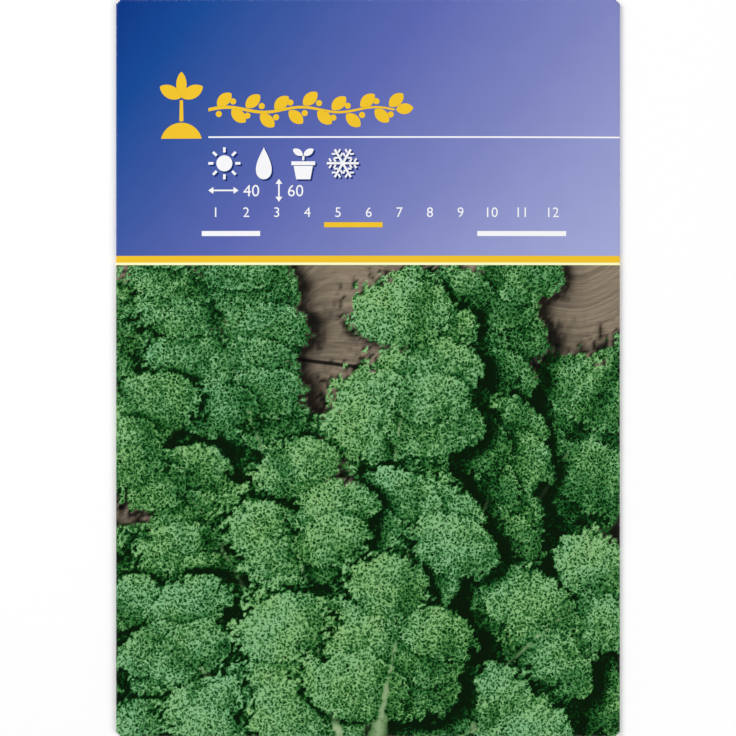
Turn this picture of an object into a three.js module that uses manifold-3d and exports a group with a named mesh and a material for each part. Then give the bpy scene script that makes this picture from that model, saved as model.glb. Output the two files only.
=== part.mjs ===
// A garden seed packet, closed as it is sold, lying on its back with its printed front up.
// The outer bag is one sheet of coated paper: a front panel with a wing folded back from each side, glued
// over each other in a lap seam, and a flap folded back from each end and glued over the wings.
// Inside lies a heat-sealed foil sachet of two films, and in the sachet the seeds.
// Millimetres. X runs across the packet, Y from its foot to its top, Z up. The origin is the middle of the
// packet on the surface that it lies on.
import * as THREE from "three";
import { mergeVertices } from "three/addons/utils/BufferGeometryUtils.js";
import Module from "manifold-3d";

const wasm = await Module();
wasm.setup();

// Outer bag
const PACKET_WIDTH = 110;
const PACKET_HEIGHT = 161;
const PAPER = 0.15;
const LAYER_GAP = 0.1; // between two glued layers of paper
const MOUTH_GAP = 0.25; // between the front panel's rim and the lap seam behind it
const LAP_RIGHT = 4; // the inner wing, from the left, ends here
const LAP_LEFT = -6; // the outer wing, from the right, ends here
const LAP_STEP = 2; // run of the little step that lifts the inner wing over the outer one
const TOP_FLAP = 22;
const BOTTOM_FLAP = 15;
const FLAP_TAPER = 0.06; // share of its width that a flap loses towards its free edge
const CORNER_NOTCH = 1; // paper cut away at each corner so that wings and flaps fold clear of each other

// Foil sachet and seeds
const FILM = 0.12;
const SACHET_WIDTH = 84;
const SACHET_HEIGHT = 118;
const SACHET_Y = -8; // the sachet has slid towards the foot
const SEAL_WIDTH = 6;
const SEAL_GAP = 0.02;
const SEED_RADIUS = 0.9;
const SEED_PITCH = 1.6;
const SEED_PATCH = { x: 2, y: -34, width: 19, height: 9.5 };
const SEED_JITTER = 0.05;

// Glue
const GLUE = 0.06;
const SEAM_GLUE_WIDTH = 7;
const FLAP_GLUE_WIDTH = 8;
const GLUE_END_MARGIN = 8;

// Heights of the layers above the surface, each at the underside of its paper or film
const WING_Z = PAPER + LAYER_GAP;
const LAP_LIFT = PAPER + LAYER_GAP;
const FRONT_Z = WING_Z + LAP_LIFT + PAPER + MOUTH_GAP;
const SACHET_Z = WING_Z + LAP_LIFT + PAPER + LAYER_GAP;

// Folds: the radius of the paper's middle layer, and the line where the front panel starts to turn
const SIDE_FOLD = (FRONT_Z - WING_Z) / 2;
const END_FOLD = FRONT_Z / 2;
const SIDE_LINE = PACKET_WIDTH / 2 - SIDE_FOLD - PAPER / 2;
const END_LINE = PACKET_HEIGHT / 2 - END_FOLD - PAPER / 2;

const MATERIALS = {
  paper: { color: 0x5a6cb0, roughness: 0.42, metalness: 0 },
  glue: { color: 0xe9e4cf, roughness: 0.5, metalness: 0 },
  foil: { color: 0xc9ccd0, roughness: 0.28, metalness: 1 },
  seed: { color: 0x3b2a20, roughness: 0.55, metalness: 0 },
};

const packet = new THREE.Group();
packet.name = "seed_packet";

function addPiece(name, geometry, look) {
  const material = new THREE.MeshStandardMaterial({ name: look, ...MATERIALS[look] });
  const piece = new THREE.Mesh(geometry, material);
  piece.name = name;
  packet.add(piece);
  return piece;
}

// Evenly spaced values from one end to the other, both included.
function steps(from, to, count) {
  return Array.from({ length: count + 1 }, (_, i) => from + ((to - from) * i) / count);
}

// Rising values with repeats taken out.
function lines(...parts) {
  const sorted = parts.flat().sort((a, b) => a - b);
  return sorted.filter((value, i) => i === 0 || value - sorted[i - 1] > 1e-4);
}

// A thin sheet as one closed body. The flat sheet is a grid of cells, of which hasCell keeps some, and
// place(u, v, side) puts a grid point on the outer face (side 1) or the inner face (side -1) in space.
function sheet(uLines, vLines, hasCell, place) {
  const positions = [];
  const index = [];
  const across = uLines.length;
  const layer = across * vLines.length;
  for (const side of [-1, 1]) {
    for (const v of vLines) {
      for (const u of uLines) positions.push(...place(u, v, side));
    }
  }
  const inner = (i, j) => j * across + i;
  const outer = (i, j) => layer + inner(i, j);
  const kept = (i, j) =>
    i >= 0 &&
    j >= 0 &&
    i < across - 1 &&
    j < vLines.length - 1 &&
    hasCell((uLines[i] + uLines[i + 1]) / 2, (vLines[j] + vLines[j + 1]) / 2);
  const quad = (a, b, c, d) => index.push(a, b, c, a, c, d);
  const wall = (a, b) => quad(inner(...a), inner(...b), outer(...b), outer(...a));
  for (let j = 0; j < vLines.length - 1; j++) {
    for (let i = 0; i < across - 1; i++) {
      if (!kept(i, j)) continue;
      quad(outer(i, j), outer(i + 1, j), outer(i + 1, j + 1), outer(i, j + 1));
      quad(inner(i, j), inner(i, j + 1), inner(i + 1, j + 1), inner(i + 1, j));
      if (!kept(i, j - 1)) wall([i, j], [i + 1, j]);
      if (!kept(i + 1, j)) wall([i + 1, j], [i + 1, j + 1]);
      if (!kept(i, j + 1)) wall([i + 1, j + 1], [i, j + 1]);
      if (!kept(i - 1, j)) wall([i, j + 1], [i, j]);
    }
  }
  const geometry = new THREE.BufferGeometry();
  geometry.setAttribute("position", new THREE.Float32BufferAttribute(positions, 3));
  geometry.setIndex(index);
  geometry.computeVertexNormals();
  return geometry;
}

// How far the seeds lift what lies over them, from 1 above the middle of the patch down to 0.
function overSeeds(x, y) {
  const along = (x - SEED_PATCH.x) / (SEED_PATCH.width * 1.15);
  const up = (y - SEED_PATCH.y) / (SEED_PATCH.height * 1.5);
  return Math.exp(-(along ** 2) - up ** 2);
}

// The front panel stands up from its four folds in a low pillow, highest over the seeds.
function frontBulge(x, y) {
  const pillow = 1.6;
  const mound = 1.25;
  const across = 1 - Math.min(1, Math.abs(x / SIDE_LINE)) ** 2.6;
  const up = 1 - Math.min(1, Math.abs(y / END_LINE)) ** 4;
  return across * up * (pillow + mound * overSeeds(x, y));
}

// Where paper lies that has been folded back under the front panel, at a distance past the fold line:
// how far it stands out past that line, how far it has dropped, and which way its outer face looks.
function foldBack(past, radius) {
  const arc = Math.PI * radius;
  if (past >= arc) return { out: arc - past, drop: 2 * radius, lookOut: 0, lookUp: -1 };
  const turn = past / radius;
  return {
    out: radius * Math.sin(turn),
    drop: radius * (1 - Math.cos(turn)),
    lookOut: Math.sin(turn),
    lookUp: Math.cos(turn),
  };
}

// The left wing steps up over the right wing where the two are glued.
function lapStep(x) {
  const start = LAP_LEFT - LAP_STEP - 1;
  return LAP_LIFT * THREE.MathUtils.clamp((x - start) / LAP_STEP, 0, 1);
}

function outerBag() {
  const middle = FRONT_Z + PAPER / 2;
  const half = PAPER / 2;
  const sideArc = Math.PI * SIDE_FOLD;
  const endArc = Math.PI * END_FOLD;
  const wingLine = SIDE_LINE + sideArc; // here a wing lies flat again, and its blank runs on from here
  const flapLine = END_LINE + endArc;
  const wingReach = END_LINE - CORNER_NOTCH;
  const flapReach = SIDE_LINE - CORNER_NOTCH;
  const foldSteps = 4;
  const leftWing = (x) => -(wingLine + x + SIDE_LINE); // blank distance of a place on the left wing
  const uLines = lines(
    steps(-flapReach, flapReach, 18),
    [-SIDE_LINE, SIDE_LINE],
    steps(SIDE_LINE, wingLine, foldSteps),
    steps(-wingLine, -SIDE_LINE, foldSteps),
    steps(wingLine, wingLine + SIDE_LINE - LAP_LEFT, 4),
    [LAP_RIGHT, LAP_LEFT - 1, LAP_LEFT - 1 - LAP_STEP, -SIDE_LINE / 2].map(leftWing),
  );
  const vLines = lines(
    steps(-wingReach, wingReach, 26),
    [-END_LINE, END_LINE],
    steps(END_LINE, flapLine, foldSteps),
    steps(-flapLine, -END_LINE, foldSteps),
    [flapLine + TOP_FLAP, -flapLine - BOTTOM_FLAP],
  );
  const hasCell = (u, v) =>
    (Math.abs(u) < SIDE_LINE && Math.abs(v) < END_LINE) ||
    (Math.abs(u) > SIDE_LINE && Math.abs(v) < wingReach) ||
    (Math.abs(v) > END_LINE && Math.abs(u) < flapReach);
  const place = (u, v, side) => {
    if (Math.abs(v) > END_LINE) {
      const fold = foldBack(Math.abs(v) - END_LINE, END_FOLD);
      const flapLength = v > 0 ? TOP_FLAP : BOTTOM_FLAP;
      const travel = Math.max(0, Math.abs(v) - flapLine) / flapLength;
      return [
        u * (1 - FLAP_TAPER * travel),
        Math.sign(v) * (END_LINE + fold.out + side * half * fold.lookOut),
        middle - fold.drop + side * half * fold.lookUp,
      ];
    }
    if (Math.abs(u) > SIDE_LINE) {
      const fold = foldBack(Math.abs(u) - SIDE_LINE, SIDE_FOLD);
      const x = Math.sign(u) * (SIDE_LINE + fold.out + side * half * fold.lookOut);
      const lift = u < -wingLine ? lapStep(x) : 0;
      return [x, v, middle - fold.drop + lift + side * half * fold.lookUp];
    }
    return [u, v, middle + frontBulge(u, v) + side * half];
  };
  return sheet(uLines, vLines, hasCell, place);
}

// A flat strip of dried glue between two layers of paper.
function glueStrip(width, height, x, y, underside) {
  const clear = (LAYER_GAP - GLUE) / 2;
  const strip = new THREE.BoxGeometry(width, height, GLUE);
  return strip.translate(x, y, underside + clear + GLUE / 2);
}

function glueStrips() {
  const flapGlueLength = 2 * SIDE_LINE * (1 - FLAP_TAPER) - 2 * GLUE_END_MARGIN;
  const seamLength = PACKET_HEIGHT - 2 * GLUE_END_MARGIN;
  const seamX = (LAP_LEFT + LAP_RIGHT) / 2;
  const topY = END_LINE - TOP_FLAP + FLAP_GLUE_WIDTH / 2 + 2;
  const bottomY = -END_LINE + BOTTOM_FLAP - FLAP_GLUE_WIDTH / 2 - 2;
  addPiece("seam_glue", glueStrip(SEAM_GLUE_WIDTH, seamLength, seamX, 0, WING_Z + PAPER), "glue");
  addPiece("top_flap_glue", glueStrip(flapGlueLength, FLAP_GLUE_WIDTH, 0, topY, PAPER), "glue");
  addPiece("bottom_flap_glue", glueStrip(flapGlueLength, FLAP_GLUE_WIDTH, 0, bottomY, PAPER), "glue");
}

// Height of the sachet's front film over its sealed rim: a shallow pillow, raised where the seeds lie.
function sachetBulge(x, y) {
  const pillow = 0.8;
  const mound = 1.4;
  const insideX = SACHET_WIDTH / 2 - SEAL_WIDTH;
  const insideY = SACHET_HEIGHT / 2 - SEAL_WIDTH;
  const across = 1 - Math.min(1, Math.abs(x) / insideX) ** 4;
  const up = 1 - Math.min(1, Math.abs(y - SACHET_Y) / insideY) ** 6;
  return across * up * (pillow + mound * overSeeds(x, y));
}

function sachetFilm(underside, bulge, columns, rows) {
  const edgeX = SACHET_WIDTH / 2;
  const edgeY = SACHET_HEIGHT / 2;
  const uLines = lines([-edgeX, edgeX], steps(SEAL_WIDTH - edgeX, edgeX - SEAL_WIDTH, columns));
  const vLines = lines([-edgeY, edgeY], steps(SEAL_WIDTH - edgeY, edgeY - SEAL_WIDTH, rows));
  const place = (u, v, side) => {
    const y = v + SACHET_Y;
    return [u, y, underside + FILM / 2 + bulge(u, y) + (side * FILM) / 2];
  };
  return sheet(uLines, vLines, () => true, place);
}

function solidOf(geometry) {
  const bare = geometry.clone();
  bare.deleteAttribute("normal");
  bare.deleteAttribute("uv");
  const merged = mergeVertices(bare);
  return new wasm.Manifold(
    new wasm.Mesh({
      numProp: 3,
      vertProperties: new Float32Array(merged.attributes.position.array),
      triVerts: new Uint32Array(merged.index.array),
    }),
  );
}

function geometryOf(solid) {
  const mesh = solid.getMesh();
  const geometry = new THREE.BufferGeometry();
  geometry.setAttribute("position", new THREE.BufferAttribute(mesh.vertProperties, 3));
  geometry.setIndex(new THREE.BufferAttribute(mesh.triVerts, 1));
  geometry.computeVertexNormals();
  return geometry;
}

// The same small numbers in every run, each from 0 to 1.
function seededNumbers(seed) {
  let state = seed;
  return () => {
    state = (state * 1664525 + 1013904223) % 4294967296;
    return state / 4294967296;
  };
}

// The seeds lie one deep on the back film, in an oval patch, each sunk a little into its neighbours.
function seedCluster() {
  const random = seededNumbers(7);
  const rowPitch = (SEED_PITCH * Math.sqrt(3)) / 2;
  const rows = Math.ceil(SEED_PATCH.height / rowPitch);
  const columns = Math.ceil(SEED_PATCH.width / SEED_PITCH);
  const seedZ = SACHET_Z + FILM + SEAL_GAP + SEED_RADIUS;
  let cluster = null;
  for (let row = -rows; row <= rows; row++) {
    for (let column = -columns; column <= columns; column++) {
      const x = (column + (row % 2 ? 0.5 : 0)) * SEED_PITCH;
      const y = row * rowPitch;
      if (Math.hypot((2 * x) / SEED_PATCH.width, (2 * y) / SEED_PATCH.height) > 1) continue;
      const seed = new THREE.SphereGeometry(SEED_RADIUS, 6, 4);
      seed.rotateZ(random() * Math.PI);
      seed.translate(
        SEED_PATCH.x + x + (random() - 0.5) * SEED_JITTER,
        SEED_PATCH.y + y + (random() - 0.5) * SEED_JITTER,
        seedZ,
      );
      const solid = solidOf(seed);
      cluster = cluster ? cluster.add(solid) : solid;
    }
  }
  return geometryOf(cluster);
}

addPiece("outer_bag", outerBag(), "paper");
glueStrips();
addPiece("sachet_back_film", sachetFilm(SACHET_Z, () => 0, 1, 1), "foil");
addPiece("sachet_front_film", sachetFilm(SACHET_Z + FILM + SEAL_GAP, sachetBulge, 14, 18), "foil");
addPiece("seeds", seedCluster(), "seed");

export default packet;
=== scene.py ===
# A garden seed packet, closed as it is sold, lying on its back with its printed front up.
# Metres, in the frame of the solids: X across the packet, Y from its foot to its top, Z up.
import math
import random

import bmesh
import bpy
import numpy as np
from mathutils import Matrix, Vector, noise


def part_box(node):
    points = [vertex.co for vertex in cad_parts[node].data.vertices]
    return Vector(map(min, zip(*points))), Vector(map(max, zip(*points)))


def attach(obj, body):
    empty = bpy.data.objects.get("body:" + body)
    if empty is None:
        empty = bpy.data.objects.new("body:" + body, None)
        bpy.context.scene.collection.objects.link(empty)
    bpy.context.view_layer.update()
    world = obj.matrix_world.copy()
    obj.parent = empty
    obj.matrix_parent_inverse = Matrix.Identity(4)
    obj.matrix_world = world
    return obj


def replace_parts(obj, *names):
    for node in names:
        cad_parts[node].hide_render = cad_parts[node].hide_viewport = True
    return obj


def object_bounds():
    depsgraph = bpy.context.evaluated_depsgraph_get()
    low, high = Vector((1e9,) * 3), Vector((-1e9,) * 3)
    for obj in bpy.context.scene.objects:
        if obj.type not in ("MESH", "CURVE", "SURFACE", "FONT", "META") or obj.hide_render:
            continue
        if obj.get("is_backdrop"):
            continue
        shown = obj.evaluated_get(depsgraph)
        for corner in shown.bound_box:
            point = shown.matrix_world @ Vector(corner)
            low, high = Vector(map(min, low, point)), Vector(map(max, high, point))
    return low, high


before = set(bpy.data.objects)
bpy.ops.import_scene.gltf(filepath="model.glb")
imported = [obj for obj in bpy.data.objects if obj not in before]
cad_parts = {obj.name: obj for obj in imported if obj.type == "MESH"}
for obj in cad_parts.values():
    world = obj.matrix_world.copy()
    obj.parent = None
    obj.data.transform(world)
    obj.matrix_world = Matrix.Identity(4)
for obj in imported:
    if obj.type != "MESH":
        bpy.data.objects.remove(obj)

cad_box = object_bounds()

# Outer bag: the sheet
# One sheet of coated paper, cut to a cross. The middle is the front panel, a wing folds back from each
# side and a flap from each end. The wings are glued over each other, and the flaps over the wings.
MM = 0.001
PAPER = 0.15 * MM
LAYER_GAP = 0.1 * MM
LAP_RIGHT = 4 * MM
LAP_LEFT = -6 * MM
LAP_STEP = 2 * MM
LAP_MARGIN = 1 * MM
TOP_FLAP = 22 * MM
BOTTOM_FLAP = 15 * MM
FLAP_TAPER = 0.06
CORNER_NOTCH = 0.4 * MM
PICTURE_TOP = 22.44 * MM
PICTURE_PITCH = 0.7 * MM
HEADER_PITCH = 1.3 * MM
BACK_PITCH = 2.4 * MM
FOLD_STEPS = 6

HALF_WIDTH, HALF_HEIGHT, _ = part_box("outer_bag")[1]
WING_Z = PAPER + LAYER_GAP
LAP_LIFT = PAPER + LAYER_GAP
FRONT_Z = 0.9 * MM
SIDE_FOLD = (FRONT_Z - WING_Z) / 2
END_FOLD = FRONT_Z / 2
SIDE_LINE = HALF_WIDTH - SIDE_FOLD - PAPER / 2
END_LINE = HALF_HEIGHT - END_FOLD - PAPER / 2

SEED_PATCH = {"x": 2 * MM, "y": -34 * MM, "width": 19 * MM, "height": 9.5 * MM}
SACHET_WIDTH = 84 * MM
SACHET_HEIGHT = 118 * MM
SACHET_Y = -8 * MM

# How far the front stands over its rim, in millimetres: the packet itself, and what the seeds, the
# paper's soft waves, the sachet's outline and the lumps over the seeds add.
PILLOW_RISE = 1.45
SEED_RISE = 1.2
WAVE_RISE = 0.16
SACHET_RISE = 0.1
LUMP_RISE = 0.09

# Shallow dents from handling: start, direction in degrees, length and depth.
CREASES = (
    ((-52, 74), -38, 17, 0.07),
    ((49, -76), 128, 21, 0.08),
    ((-50, -70), 52, 12, 0.05),
    ((30, 79), -72, 9, 0.05),
)


def over_seeds(x, y):
    """How far the seeds lift what lies over them, from 1 above the middle of the patch down to 0."""
    along = (x - SEED_PATCH["x"]) / (SEED_PATCH["width"] * 1.15)
    up = (y - SEED_PATCH["y"]) / (SEED_PATCH["height"] * 1.5)
    return math.exp(-(along**2) - up**2)


def eased(value, low, high):
    """0 below low, 1 above high, and a smooth rise between."""
    share = min(1, max(0, (value - low) / (high - low)))
    return share * share * (3 - 2 * share)


def crease_depth(x, y):
    """How deep the dents are at a place of the front."""
    depth = 0
    for (start_x, start_y), turn, length, deep in CREASES:
        along_x, along_y = math.cos(math.radians(turn)), math.sin(math.radians(turn))
        off_x, off_y = x - start_x * MM, y - start_y * MM
        along = off_x * along_x + off_y * along_y
        across = abs(off_x * along_y - off_y * along_x)
        fade = eased(along, 0, 0.2 * length * MM) * (1 - eased(along, 0.5 * length * MM, length * MM))
        depth += deep * MM * fade * (1 - eased(across, 0, 1.3 * MM))
    return depth


def front_rise(x, y):
    """Height of the front panel over its rim: a low pillow, highest over the seeds, with soft waves,
    the outline of the sachet pressed through, small lumps over the seeds and a few dents."""
    edge_x = 1 - min(1, abs(x / SIDE_LINE)) ** 2.6
    edge_y = 1 - min(1, abs(y / END_LINE)) ** 4
    seeds = over_seeds(x, y)
    waves = noise.noise(Vector((x * 34, y * 26, 0.7))) * WAVE_RISE
    rim_x = SACHET_WIDTH / 2 - abs(x)
    rim_y = SACHET_HEIGHT / 2 - abs(y - SACHET_Y)
    sachet = eased(min(rim_x, rim_y), -1.2 * MM, 1.2 * MM) * SACHET_RISE
    lumps = noise.noise(Vector((x * 520, y * 520, 3.1))) * LUMP_RISE * seeds
    pillow = (PILLOW_RISE + SEED_RISE * seeds + waves + sachet + lumps) * MM
    return edge_x * edge_y * pillow - crease_depth(x, y) * min(1, 8 * edge_x) * min(1, 8 * edge_y)


def fold_back(past, radius):
    """Where paper lies at a distance past a fold line: how far out past the line and how far down it
    is, and the way its outer face looks, outwards and upwards."""
    turn = min(past / radius, math.pi)
    straight = max(0, past - math.pi * radius)
    out = radius * math.sin(turn) - straight
    return out, radius * (1 - math.cos(turn)), math.sin(turn), math.cos(turn)


def lap_step(x):
    """The left wing steps up over the right wing where the two are glued."""
    start = LAP_LEFT - LAP_STEP - LAP_MARGIN
    return LAP_LIFT * eased(x, start, start + LAP_STEP)


def steps(low, high, pitch):
    """Evenly spaced values from low to high, about a pitch apart."""
    count = max(1, round((high - low) / pitch))
    return [low + (high - low) * i / count for i in range(count + 1)]


def rising(*parts):
    """The values of several lists in one, rising, with repeats taken out."""
    found = []
    for value in sorted(v for part in parts for v in part):
        if not found or value - found[-1] > 1e-6:
            found.append(value)
    return found


SIDE_ARC = math.pi * SIDE_FOLD
END_ARC = math.pi * END_FOLD
WING_LINE = SIDE_LINE + SIDE_ARC
FLAP_LINE = END_LINE + END_ARC
WING_REACH = END_LINE - CORNER_NOTCH
FLAP_REACH = SIDE_LINE - CORNER_NOTCH
PICTURE_FOOT = END_LINE + END_ARC * 0.8

# The square map that the sheet's colours are laid out on, in millimetres.
# Each region has its corner on the map, its scale, and the flat place that comes to that corner.
COLOUR_MAP_SIDE = 164
MAP_REGIONS = {
    "front": ((0, 0), 1, (-56, -82)),
    "right wing": ((113, 1), 0.4, (WING_LINE / MM, -81)),
    "left wing": ((138.5, 1), 0.4, (WING_LINE / MM, -81)),
    "top flap": ((113, 68), 0.45, (-55, FLAP_LINE / MM)),
    "bottom flap": ((113, 80), 0.45, (-55, FLAP_LINE / MM)),
    "inside": ((113, 90), 0.21, (-117, -97)),
}


def placed_paper(u, v, above):
    """Where a place of the flat sheet ends up, at a height above the paper's middle layer."""
    middle = FRONT_Z + PAPER / 2
    if abs(v) > END_LINE:
        out, down, look_out, look_up = fold_back(abs(v) - END_LINE, END_FOLD)
        flap = TOP_FLAP if v > 0 else BOTTOM_FLAP
        travel = max(0, abs(v) - FLAP_LINE) / flap
        y = math.copysign(1, v) * (END_LINE + out + above * look_out)
        return Vector((u * (1 - FLAP_TAPER * travel), y, middle - down + above * look_up))
    if abs(u) > SIDE_LINE:
        out, down, look_out, look_up = fold_back(abs(u) - SIDE_LINE, SIDE_FOLD)
        x = math.copysign(1, u) * (SIDE_LINE + out + above * look_out)
        lift = lap_step(x) if u < -WING_LINE else 0
        return Vector((x, v, middle - down + lift + above * look_up))
    return Vector((u, v, middle + front_rise(u, v) + above))


def flat_sheet(u_lines, v_lines):
    """A flat grid on these lines, with the cells outside the cross cut away."""
    columns, rows = len(u_lines) - 1, len(v_lines) - 1
    bm = bmesh.new()
    bmesh.ops.create_grid(bm, x_segments=columns, y_segments=rows, size=1)
    for vert in bm.verts:
        column = round((vert.co.x + 1) / 2 * columns)
        row = round((vert.co.y + 1) / 2 * rows)
        vert.co = (u_lines[column], v_lines[row], 0)
    offcuts = []
    for face in bm.faces:
        middle = face.calc_center_median()
        on_front = abs(middle.x) < SIDE_LINE and abs(middle.y) < END_LINE
        on_wing = abs(middle.x) > SIDE_LINE and abs(middle.y) < WING_REACH
        on_flap = abs(middle.y) > END_LINE and abs(middle.x) < FLAP_REACH
        if not (on_front or on_wing or on_flap):
            offcuts.append(face)
    bmesh.ops.delete(bm, geom=offcuts, context="FACES")
    return bm


def map_region(middle, outside):
    """The region that a face of the flat sheet belongs to, by the face's middle."""
    if not outside:
        return "inside"
    if abs(middle.x) > WING_LINE:
        return "right wing" if middle.x > 0 else "left wing"
    if abs(middle.y) > FLAP_LINE:
        return "top flap" if middle.y > 0 else "bottom flap"
    return "front"


def colour_map_place(u, v, region):
    """Where a place of the flat sheet lies on the colour map, in shares of its side."""
    corner, scale, (start_u, start_v) = MAP_REGIONS[region]
    past_u = (abs(u) if "wing" in region else u) / MM - start_u
    past_v = (abs(v) if "flap" in region else v) / MM - start_v
    return (corner[0] + past_u * scale) / COLOUR_MAP_SIDE, (corner[1] + past_v * scale) / COLOUR_MAP_SIDE


def folded_bag():
    """The sheet folded into the bag. Its faces wear material 0 outside, 1 on the picture, and 2 inside
    and on the cuts. With it comes the flat place of every corner, in millimetres."""
    left_end = WING_LINE + SIDE_LINE + LAP_RIGHT
    right_end = WING_LINE + SIDE_LINE - LAP_LEFT
    step_start = WING_LINE + SIDE_LINE + LAP_LEFT - LAP_MARGIN - LAP_STEP
    bm = flat_sheet(
        rising(
            steps(-FLAP_REACH, FLAP_REACH, PICTURE_PITCH),
            (-SIDE_LINE, SIDE_LINE),
            steps(SIDE_LINE, WING_LINE, SIDE_ARC / FOLD_STEPS),
            steps(-WING_LINE, -SIDE_LINE, SIDE_ARC / FOLD_STEPS),
            steps(WING_LINE, right_end, BACK_PITCH),
            steps(-step_start, -WING_LINE, BACK_PITCH),
            steps(-step_start - LAP_STEP, -step_start, LAP_STEP / 4),
            steps(-left_end, -step_start - LAP_STEP, BACK_PITCH),
        ),
        rising(
            steps(-WING_REACH, PICTURE_TOP, PICTURE_PITCH),
            steps(PICTURE_TOP, WING_REACH, HEADER_PITCH),
            (-END_LINE, END_LINE),
            steps(END_LINE, FLAP_LINE, END_ARC / FOLD_STEPS),
            steps(-FLAP_LINE, -END_LINE, END_ARC / FOLD_STEPS),
            steps(FLAP_LINE, FLAP_LINE + TOP_FLAP, BACK_PITCH),
            steps(-FLAP_LINE - BOTTOM_FLAP, -FLAP_LINE, BACK_PITCH),
        ),
    )
    outside = set(bm.faces)
    outer_corners = set(bm.verts)
    bmesh.ops.extrude_face_region(bm, geom=list(bm.faces), use_keep_orig=True)
    colour_map = bm.loops.layers.uv.new("OFBake")
    for face in bm.faces:
        middle = face.calc_center_median()
        on_picture = abs(middle.x) < WING_LINE and -PICTURE_FOOT < middle.y < PICTURE_TOP
        face.material_index = int(on_picture) if face in outside else 2
        region = map_region(middle, face in outside)
        for loop in face.loops:
            loop[colour_map].uv = colour_map_place(loop.vert.co.x, loop.vert.co.y, region)
    flat = np.array([vert.co[:2] for vert in bm.verts]) / MM
    for vert in bm.verts:
        above = PAPER / 2 if vert in outer_corners else -PAPER / 2
        vert.co = placed_paper(vert.co.x, vert.co.y, above)
    bmesh.ops.recalc_face_normals(bm, faces=bm.faces)
    return bm, flat


def new_piece(name, bm, materials, smooth=True):
    """Makes the mesh a piece of the packet, with its finish and the slot that it takes it from."""
    mesh = bpy.data.meshes.new(name)
    for face in bm.faces:
        face.smooth = smooth
    bm.to_mesh(mesh)
    bm.free()
    piece = bpy.data.objects.new(name, mesh)
    bpy.context.scene.collection.objects.link(piece)
    for material in materials:
        mesh.materials.append(material)
    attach(piece, "root")
    return piece


# Outer bag: the paper's finish
# White paper, clay coated on the outside and calendered. Fibres show as a faint uneven surface, the
# gloss wanders a little, and the uncoated inside is duller and warmer.


class Signal:
    """A number that changes over a surface. Sums and products of signals become Math nodes."""

    def __init__(self, nodes, socket):
        self.nodes = nodes
        self.socket = socket

    def maths(self, operation, *others):
        node = self.nodes.add("Math", operation=operation)
        for socket, value in zip(node.inputs, (self, *others)):
            self.nodes.feed(socket, value)
        return Signal(self.nodes, node.outputs[0])

    def __add__(self, other):
        return self.maths("ADD", other)

    def __sub__(self, other):
        return self.maths("SUBTRACT", other)

    def __mul__(self, other):
        return self.maths("MULTIPLY", other)

    def __truediv__(self, other):
        return self.maths("DIVIDE", other)

    def __abs__(self):
        return self.maths("ABSOLUTE")

    def rise(self, low, high):
        """0 at low and 1 at high, eased between them, where low and high may be signals too."""
        node = self.nodes.add("MapRange", interpolation_type="SMOOTHSTEP")
        for name, value in (("Value", self), ("From Min", low), ("From Max", high)):
            self.nodes.feed(node.inputs[name], value)
        return Signal(self.nodes, node.outputs[0])

    def inverse(self):
        return self * -1 + 1


class Nodes:
    """One node tree, and short ways to add to it."""

    def __init__(self, tree):
        self.tree = tree

    def feed(self, socket, value):
        if isinstance(value, Signal):
            value = value.socket
        if isinstance(value, bpy.types.NodeSocket):
            self.tree.links.new(value, socket)
        else:
            socket.default_value = value

    def add(self, kind, inputs=None, **settings):
        node = self.tree.nodes.new("ShaderNode" + kind)
        for name, value in settings.items():
            setattr(node, name, value)
        for name, value in (inputs or {}).items():
            self.feed(node.inputs[name], value)
        return node

    def signal(self, kind, inputs=None, output=0, **settings):
        return Signal(self, self.add(kind, inputs, **settings).outputs[output])

    def place_in_mm(self):
        """The place on the piece in millimetres, as one vector socket."""
        coordinates = self.add("TexCoord").outputs["Object"]
        return self.add("VectorMath", {0: coordinates, "Scale": 1 / MM}, operation="SCALE").outputs[0]

    def axes(self, vector):
        split = self.add("SeparateXYZ", {"Vector": vector})
        return [Signal(self, socket) for socket in split.outputs]

    def noise(self, vector, scale, detail=2, roughness=0.5, distortion=0):
        values = {"Vector": vector, "Scale": scale, "Detail": detail}
        values.update({"Roughness": roughness, "Distortion": distortion})
        return self.signal("TexNoise", values)

    def cells(self, vector, scale, feature):
        """The distance from the middle of the nearest cell of a flat pattern, or to the cell's edge."""
        values = {"Vector": vector, "Scale": scale}
        return self.signal("TexVoronoi", values, "Distance", feature=feature, voronoi_dimensions="2D")

    def mix(self, share, below, above, blend="MIX"):
        """One colour over another, as far as share says."""
        colours = {"Factor": share, 6: below, 7: above}
        return self.add("Mix", colours, data_type="RGBA", blend_type=blend).outputs[2]

    def multiply(self, colour, other):
        return self.mix(1, colour, other, "MULTIPLY")

    def relief(self, height, strength, depth):
        """The normals of a surface that rises and falls by up to a depth in millimetres."""
        values = {"Height": height, "Strength": strength, "Distance": depth * MM}
        return self.add("Bump", values).outputs["Normal"]

    def finish(self, values):
        """Ends a material with its one Principled shader."""
        shader = self.add("BsdfPrincipled", values)
        self.add("OutputMaterial", {"Surface": shader.outputs["BSDF"]})

    def ramp(self, share, stops):
        """A colour for each share from 0 to 1, by stops of (share, colour)."""
        node = self.add("ValToRGB", {"Fac": share})
        elements = node.color_ramp.elements
        while len(elements) < len(stops):
            elements.new(1)
        for element, (position, colour) in zip(elements, stops):
            element.position = position
            element.color = colour
        return node.outputs["Color"]


def ink(red, green, blue):
    """A colour as a printer's eye sees it, 0 to 255, turned into the light that it throws back."""
    shares = [value / 255 for value in (red, green, blue)]
    return (*[s / 12.92 if s <= 0.04045 else ((s + 0.055) / 1.055) ** 2.4 for s in shares], 1)


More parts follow.
